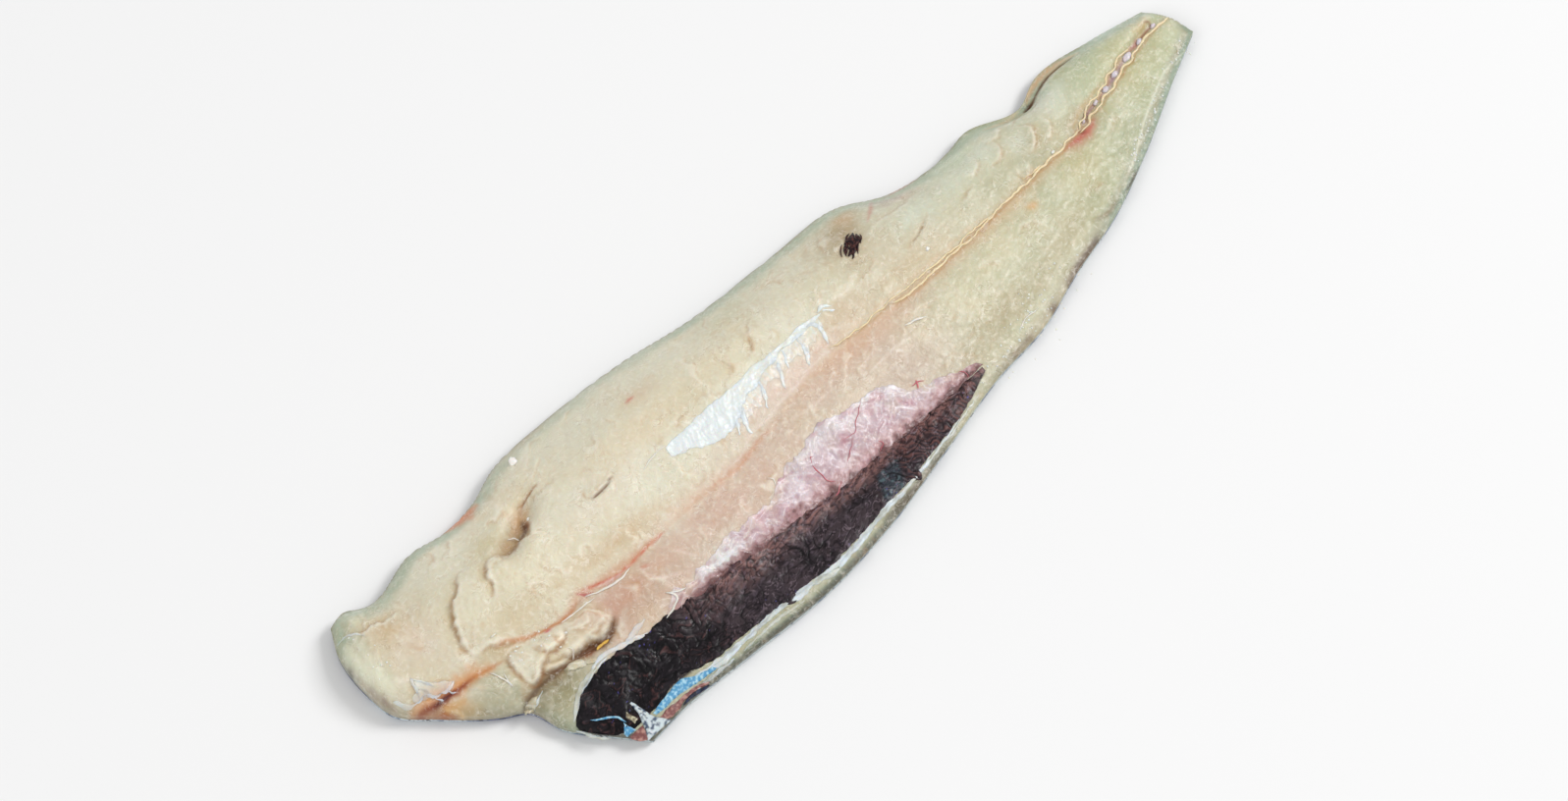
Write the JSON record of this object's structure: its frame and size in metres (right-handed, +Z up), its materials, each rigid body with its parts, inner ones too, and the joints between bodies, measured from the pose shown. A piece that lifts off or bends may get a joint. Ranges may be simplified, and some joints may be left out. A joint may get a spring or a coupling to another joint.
{
  "type": "raw hoki fillet",
  "caption": "Raw skin-on hoki fillet lying skin side down: pale boneless loin, tapered tail, head-end flakes and a belly flap with its black lining.",
  "frame": {"origin": "middle of the plan, on the surface that the fillet lies on", "axes": "+X from the head end to the tail end, +Y from the belly to the back, +Z up out of the cut side"},
  "size_m": [0.3975, 0.1164, 0.0249],
  "materials": {
    "flesh": "moist, slightly translucent raw flesh",
    "skin": "wet silver and blue-black skin",
    "belly_lining": "wet black membrane"
  },
  "bodies": {
    "root": {"flesh": "flesh", "skin": "skin", "belly_lining": "belly_lining"}
  },
  "joints": []
}
